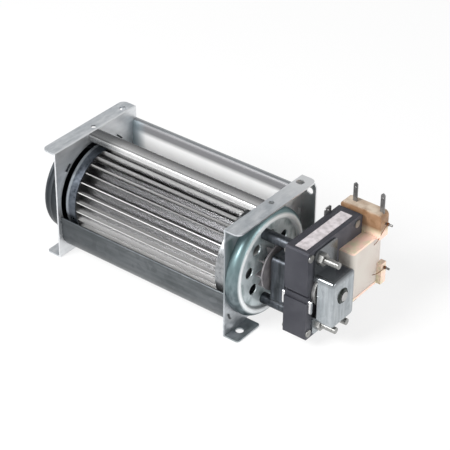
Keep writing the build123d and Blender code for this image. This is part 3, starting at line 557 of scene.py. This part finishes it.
# %% Roll finishes
def blade_look():
    """Rolled aluminium: pale at the outer edge, darker inside, with hair-fine lines along it."""
    look, tree, shader = principled("blade_bright")
    hairs = noise(tree, scale=500.0, detail=2.0, stretch=(0.02, 1, 1))
    base = mix_colour(tree, spread(tree, hairs, 0.3, 0.7), (0.6, 0.6, 0.595), (0.72, 0.72, 0.715))
    inside = from_axis(tree, roll_radius, [(-0.0053, 1.0), (-0.0032, 0.0)])
    base = mix_colour(tree, inside, base, (0.44, 0.44, 0.445))
    tree.links.new(base, shader.inputs["Base Color"])
    less_metal(tree, shader, inside, metal=0.62, matt=1.0)
    roughen(tree, shader, hairs, 0.2, 0.27)
    bump(tree, shader, hairs, depth=0.0000003)
    return look


def cap_shade(tree, shader, base):
    """The left-hand cap: a painted highlight on its rolled edge, painted shade on its dark blue rim, and its
    face towards the blades painted bright.
    """
    edge = along(tree, "X", cap_low[0], [(0.0, 1.0), (0.002, 0.9), (0.003, 0.0)])
    base = mix_colour(tree, edge, base, (0.34, 0.37, 0.4))
    face = from_axis(tree, roll_radius, [(-0.0015, 1.0), (-0.0008, 0.0)])
    return mix_colour(tree, face, base, (0.85, 0.85, 0.85))


# cap_zinc and cap_pale are one pressed steel in two tones; the left-hand cap's darker blue base is painted
# shade.
cap_zinc = zinc_sheet("cap_zinc", light=(0.12, 0.135, 0.16), dark=(0.05, 0.06, 0.075),
                      roughness=(0.24, 0.4), shade=cap_shade)
cap_pale = zinc_sheet("cap_pale", light=(0.36, 0.37, 0.38), dark=(0.2, 0.21, 0.22), roughness=(0.24, 0.4))
dress(blade_look(), "roll_blades")
dress(cap_zinc, "roll_left_cap")
dress(cap_pale, "roll_right_cap")

# %% [markdown]
# ## Turned, cast and plated hardware
#
# The shafts are turned, the hub and the rotor's end rings are cast, and the bolts, bracket and terminals
# are plated. They differ from sheet metal only in how coarse and how bright they are, so the same finish
# serves with other numbers: fine rings across a turned shaft, and coarse grain without streaks on a
# casting.

# %% Hardware finishes
def bracket_shade(tree, shader, base):
    """Painted shade darkens the bracket's upper half; its front face is bright."""
    # Painted shade over the bracket's upper half.
    high = along(tree, "Z", roll_axis[2], [(0.009, 0.0), (0.0122, 1.0)])
    return mix_colour(tree, high, base, (0.16, 0.17, 0.18))


turned_steel = zinc_sheet("turned_steel", light=(0.5, 0.5, 0.5), dark=(0.36, 0.36, 0.36),
                          roughness=(0.16, 0.3), streak=(1, 0.1, 0.1), flake=500.0)
cast_alloy = zinc_sheet("cast_alloy", light=(0.7, 0.7, 0.69), dark=(0.55, 0.55, 0.54),
                        roughness=(0.38, 0.55), flake=700.0)
bolt_zinc = zinc_sheet("bolt_zinc", light=(0.42, 0.42, 0.41), dark=(0.24, 0.24, 0.23),
                       roughness=(0.3, 0.45), flake=600.0)
bracket_zinc = zinc_sheet("bracket_zinc", light=(0.48, 0.51, 0.53), dark=(0.3, 0.33, 0.35),
                          roughness=(0.12, 0.24), streak=(1, 1, 0.1), shade=bracket_shade)
# The inner bracket and the spacers lie in the shade between cup and stack; their near-black base is painted
# shade.
painted_shade_zinc = zinc_sheet("painted_shade_zinc", light=(0.12, 0.13, 0.15), dark=(0.04, 0.045, 0.05),
                       roughness=(0.3, 0.45), streak=(1, 1, 0.1))
tinned = zinc_sheet("tinned", light=(0.34, 0.34, 0.34), dark=(0.16, 0.16, 0.16),
                    roughness=(0.3, 0.5), streak=(1, 1, 0.3), flake=400.0)
dress(turned_steel, "left_stub_shaft", "stub_shaft_clip", "motor_shaft", "bush_retainers")
dress(cast_alloy, "roll_hub", "rotor_end_rings")
dress(bolt_zinc, "hub_grub_screw", "motor_bolts", "motor_nuts", "stack_rivets")
dress(bracket_zinc, "outer_bracket")
dress(painted_shade_zinc, "inner_bracket", "motor_spacers")
dress(tinned, "blade_terminals", "winding_pins", "earth_tab")

# %% [markdown]
# ## The laminations
#
# The stack is half-millimetre sheets, blued and oiled, so its faces are slate grey and its edges show
# each sheet as a fine line across X. Modelling every sheet would cost thousands of faces for lines finer
# than a pixel. Waves along X give the lines, and patches of noise give the stains of oil and heat.

# %% Lamination finish
lamination_gauge = 0.0005


def lamination_look():
    """Dark slate laminations with a line for each sheet."""
    look, tree, shader = principled("slate_laminations")
    lines = waves(tree, "X", lamination_gauge)
    stains = noise(tree, scale=90.0, detail=4.0)
    base = mix_colour(tree, spread(tree, stains, 0.35, 0.65), (0.1, 0.105, 0.125), (0.2, 0.205, 0.23))
    base = mix_colour(tree, spread(tree, lines, 0.0, 0.25, top=0.35), (0.04, 0.04, 0.05), base)
    tree.links.new(base, shader.inputs["Base Color"])
    shader.inputs["Metallic"].default_value = 0.55
    roughen(tree, shader, stains, 0.42, 0.7, start=0.0, end=1.0)
    bump(tree, shader, lines, depth=0.00004)
    return look


dress(lamination_look(), "stator_stack", "coil_core_leg", "rotor_core")

# %% [markdown]
# ## The coil
#
# The former is a moulding, tan above the winding and cream on top and below, and the winding is closed in
# pale tape. Under the tape the turns show only as faint level ridges, so waves along Z in the bump do for
# them. The same waves, finer and in copper, make the enamelled wire.

# %% Coil finishes
former_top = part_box("coil_bobbin")[1][2]
tape_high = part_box("coil_tape")[1]
tape_ridge_pitch = 0.0011
wire_pitch = 0.0004
mottle_lift = 0.004


def former_look():
    """Moulding: mottled cream and pink below, tan above the winding, cream at the very top."""
    look, tree, shader = principled("tan_former")
    mottle = noise(tree, scale=160.0, detail=4.0)
    lifted = add_node(tree, "ShaderNodeMath", {0: mottle, 1: mottle_lift, 2: axis_place(tree, "Z")},
                      operation="MULTIPLY_ADD").outputs[0]
    top = add_node(tree, "ShaderNodeMapRange", {"Value": lifted, "From Min": former_top + 0.00065,
                                                "From Max": former_top + 0.00415}).outputs[0]
    tan = mix_colour(tree, spread(tree, mottle, 0.35, 0.65), (0.22, 0.12, 0.06), (0.36, 0.22, 0.13))
    cream = mix_colour(tree, spread(tree, mottle, 0.4, 0.6), (0.7, 0.62, 0.44), (0.86, 0.6, 0.5))
    above_tape = along(tree, "Z", tape_high[2], [(0.00315, 0.0), (0.00715, 1.0)])
    base = mix_colour(tree, top, mix_colour(tree, above_tape, cream, tan), (0.7, 0.65, 0.55))
    tree.links.new(base, shader.inputs["Base Color"])
    shader.inputs["Roughness"].default_value = 0.42
    bump(tree, shader, noise(tree, scale=1500.0, detail=2.0), depth=0.00003)
    return look


def tape_look():
    """Pale film tape over the winding, with the turns' faint ridges under it."""
    look, tree, shader = principled("pale_tape")
    blotch = noise(tree, scale=55.0)
    base = mix_colour(tree, spread(tree, blotch, 0.35, 0.65), (0.52, 0.45, 0.41), (0.56, 0.52, 0.47))
    tree.links.new(base, shader.inputs["Base Color"])
    shader.inputs["Roughness"].default_value = 0.38
    bump(tree, shader, waves(tree, "Z", tape_ridge_pitch), depth=0.00004)
    return look


def wire_look():
    """Enamelled copper wire, one line for each turn."""
    look, tree, shader = principled("enamelled_wire")
    lines = waves(tree, "Z", wire_pitch)
    base = mix_colour(tree, spread(tree, lines, 0.0, 1.0), (0.18, 0.06, 0.02), (0.5, 0.22, 0.1))
    tree.links.new(base, shader.inputs["Base Color"])
    shader.inputs["Metallic"].default_value = 0.6
    shader.inputs["Roughness"].default_value = 0.3
    bump(tree, shader, lines, depth=0.0001)
    return look


dress(former_look(), "coil_bobbin")
dress(tape_look(), "coil_tape")
dress(wire_look(), "coil_winding")

# %% [markdown]
# ## Plastics, rubber, bronze, copper and the blank strip
#
# These are small or half hidden, and each is one even stuff. Two close tones in a soft mottle and a fine
# grain keep them from looking like plain paint. Base colours, roughness and metal tell them apart.

# %% Plain stuffs
def dull_look(name, first, second, roughness, metallic=0.0, scale=220.0):
    """A plain stuff with two close tones and a fine grain."""
    look, tree, shader = principled(name)
    mottle = noise(tree, scale=scale, detail=4.0)
    base = mix_colour(tree, spread(tree, mottle, 0.35, 0.65), first, second)
    tree.links.new(base, shader.inputs["Base Color"])
    shader.inputs["Metallic"].default_value = metallic
    shader.inputs["Roughness"].default_value = roughness
    bump(tree, shader, noise(tree, scale=2200.0, detail=2.0), depth=0.00003)
    return look


grey_moulding = dull_look("grey_moulding", (0.2, 0.19, 0.2), (0.3, 0.28, 0.29), roughness=0.4)
black_rubber = dull_look("black_rubber", (0.02, 0.02, 0.02), (0.05, 0.05, 0.05), roughness=0.72)
oiled_bronze = dull_look("oiled_bronze", (0.4, 0.27, 0.12), (0.6, 0.44, 0.22), roughness=0.4,
                         metallic=0.9, scale=900.0)
# The outer bush sits in its hole in the bracket; its near-black base is painted shade, where the other
# bushes are oiled bronze.
painted_shade_bush = dull_look("painted_shade_bush", (0.03, 0.035, 0.032), (0.07, 0.08, 0.075), roughness=0.4,
                      metallic=0.8, scale=900.0)
tinned_copper = dull_look("tinned_copper", (0.7, 0.7, 0.72), (0.85, 0.84, 0.84), roughness=0.22,
                          metallic=1.0)
brown_fibre = dull_look("brown_fibre", (0.3, 0.18, 0.1), (0.45, 0.3, 0.18), roughness=0.6)
silver_strip = dull_look("silver_strip", (0.5, 0.46, 0.47), (0.72, 0.67, 0.69), roughness=0.4,
                         metallic=0.3, scale=320.0)
dress(grey_moulding, "cooling_fan")
dress(black_rubber, "left_rubber_mount")
dress(oiled_bronze, "left_bearing_bush", "inner_bearing_bush")
dress(painted_shade_bush, "outer_bearing_bush")
dress(tinned_copper, "shading_rings")
dress(brown_fibre, "thrust_washers")
dress(silver_strip, "blank_strip")

# %% [markdown]
# ## Threads on the bolt ends
#
# The bolts stand nearly 10 mm out of their nuts, and there the real ones show their thread. A helix could
# be spun, but at this size rings look the same and close better, so one sleeve of rings is drawn by
# pulling a circle out of itself step by step, wide and narrow in turn, and is then copied to the other
# two bolts.

# %% Piece helpers
def fresh(name):
    """Names the piece that an operator has just made."""
    piece = bpy.context.object
    piece.name = name
    return piece


def pick(pieces):
    """Selects these pieces alone and makes the first one active."""
    bpy.ops.object.select_all(action="DESELECT")
    for piece in pieces:
        piece.select_set(True)
    bpy.context.view_layer.objects.active = pieces[0]


def settle(piece):
    """Puts a piece's place into its mesh and makes its faces point outwards."""
    pick([piece])
    bpy.ops.object.transform_apply(location=True, rotation=True, scale=True)
    bpy.ops.object.mode_set(mode="EDIT")
    bpy.ops.mesh.select_all(action="SELECT")
    bpy.ops.mesh.remove_doubles(threshold=0.000001)
    bpy.ops.mesh.normals_make_consistent(inside=False)
    bpy.ops.object.mode_set(mode="OBJECT")


def pull_rings(centre, steps):
    """Pulls the selected ring along X; each step is (metres along X, width as a share of the last)."""
    x, y, z = centre
    for step, share in steps:
        x += step
        bpy.ops.mesh.extrude_region_move(TRANSFORM_OT_translate={"value": (step, 0, 0)})
        bpy.ops.transform.resize(value=(1, share, share), center_override=(x, y, z))


# %% Threads
thread_pitch = 0.0007
thread_crest = 0.00208
thread_root = 0.00186
sunk_in_nut = 0.0002
bare_end = 0.0006
circle_points = 32
end_chamfer = (0.0004, 0.8)
bolt_head_radius = 0.0035
nuts_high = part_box("motor_nuts")[1]
bolts_low, bolts_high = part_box("motor_bolts")
front_y, back_y = bolts_low[1] + bolt_head_radius, bolts_high[1] - bolt_head_radius
low_z, high_z = bolts_low[2] + bolt_head_radius, bolts_high[2] - bolt_head_radius

start = (nuts_high[0] - sunk_in_nut, front_y, high_z)
bpy.ops.object.select_all(action="DESELECT")
bpy.ops.mesh.primitive_circle_add(vertices=circle_points, radius=thread_root, fill_type="NGON",
                                  location=start, rotation=(0, pi / 2, 0))
first_thread = fresh("bolt_threads")
bpy.ops.object.mode_set(mode="EDIT")
bpy.ops.mesh.select_all(action="SELECT")
wide = thread_crest / thread_root
ring_count = int((bolts_high[0] - start[0] - bare_end) / thread_pitch)
pull_rings(start, [(thread_pitch / 2, wide), (thread_pitch / 2, 1 / wide)] * ring_count + [end_chamfer])
bpy.ops.object.mode_set(mode="OBJECT")
settle(first_thread)

# %% The other two bolts
threads = [first_thread]
for other_y, other_z in ((front_y, low_z), (back_y, low_z)):
    pick([first_thread])
    bpy.ops.object.duplicate(linked=False)
    bpy.ops.transform.translate(value=(0, other_y - front_y, other_z - high_z))
    threads.append(fresh("bolt_threads_copy"))
pick(threads)
bpy.ops.object.join()
settle(first_thread)
first_thread.data.materials.append(bolt_zinc)
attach(first_thread, "housing")
print("threads:", ring_count, "rings a bolt,", len(first_thread.data.polygons), "faces")

# %% [markdown]
# ## The winding's two ends
#
# Each end of the winding comes out under the tape, runs up the former's post and is wound three times
# round its pin. A short path with a round section follows that line, and three thin rings make the turns
# on the pin.

# %% Lead wires
lead_copper = wire_look()
pins_low, pins_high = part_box("winding_pins")
pin_half = 0.0007
wire_half = 0.0002
wrap_turns = 3
wrap_from_tip = 0.0034
wrap_lean = 0.06
pin_middle_y = (pins_low[1] + pins_high[1]) / 2
wrap_x = pins_high[0] - wrap_from_tip


def lead_wire(name, pin_z, tape_z):
    """One lead: up the post from the tape, then three turns on the pin."""
    reach = pin_half + wire_half
    # Under the tape, out past its edge, up the post, towards the pin and on to its underside
    points = [
        (tape_high[0] - 0.0004, tape_high[1] - 0.009, tape_z),
        (tape_high[0] + 0.0006, tape_high[1] - 0.0085, tape_z),
        (wrap_x - 0.0006, pin_middle_y - 0.006, (tape_z + pin_z) / 2),
        (wrap_x, pin_middle_y - 0.003, pin_z - 0.0004),
        (wrap_x, pin_middle_y, pin_z - reach),
    ]
    bpy.ops.object.select_all(action="DESELECT")
    bpy.ops.curve.primitive_nurbs_path_add(location=(0, 0, 0))
    path = fresh(name)
    for point, place in zip(path.data.splines[0].points, points):
        point.co = (*place, 1.0)
    path.data.bevel_depth = wire_half
    path.data.bevel_resolution = 3
    path.data.use_fill_caps = True
    bpy.ops.object.convert(target="MESH")
    parts = [fresh(name)]
    for turn in range(wrap_turns):
        bpy.ops.object.select_all(action="DESELECT")
        bpy.ops.mesh.primitive_torus_add(major_radius=reach, minor_radius=wire_half,
                                         major_segments=24, minor_segments=10,
                                         location=(wrap_x + turn * 2 * wire_half, pin_middle_y, pin_z),
                                         rotation=(0, pi / 2, wrap_lean))
        parts.append(fresh(name + "_turn"))
    pick(parts)
    bpy.ops.object.join()
    bpy.ops.object.shade_smooth_by_angle(angle=radians(50))
    lead = parts[0]
    settle(lead)
    lead.data.materials.clear()
    lead.data.materials.append(lead_copper)
    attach(lead, "housing")
    print(name, "has", len(lead.data.polygons), "faces")


lead_wire("low_lead_wire", pin_z=pins_low[2] + pin_half, tape_z=pins_low[2] - 0.003)
lead_wire("high_lead_wire", pin_z=pins_high[2] - pin_half, tape_z=tape_high[2] - 0.004)
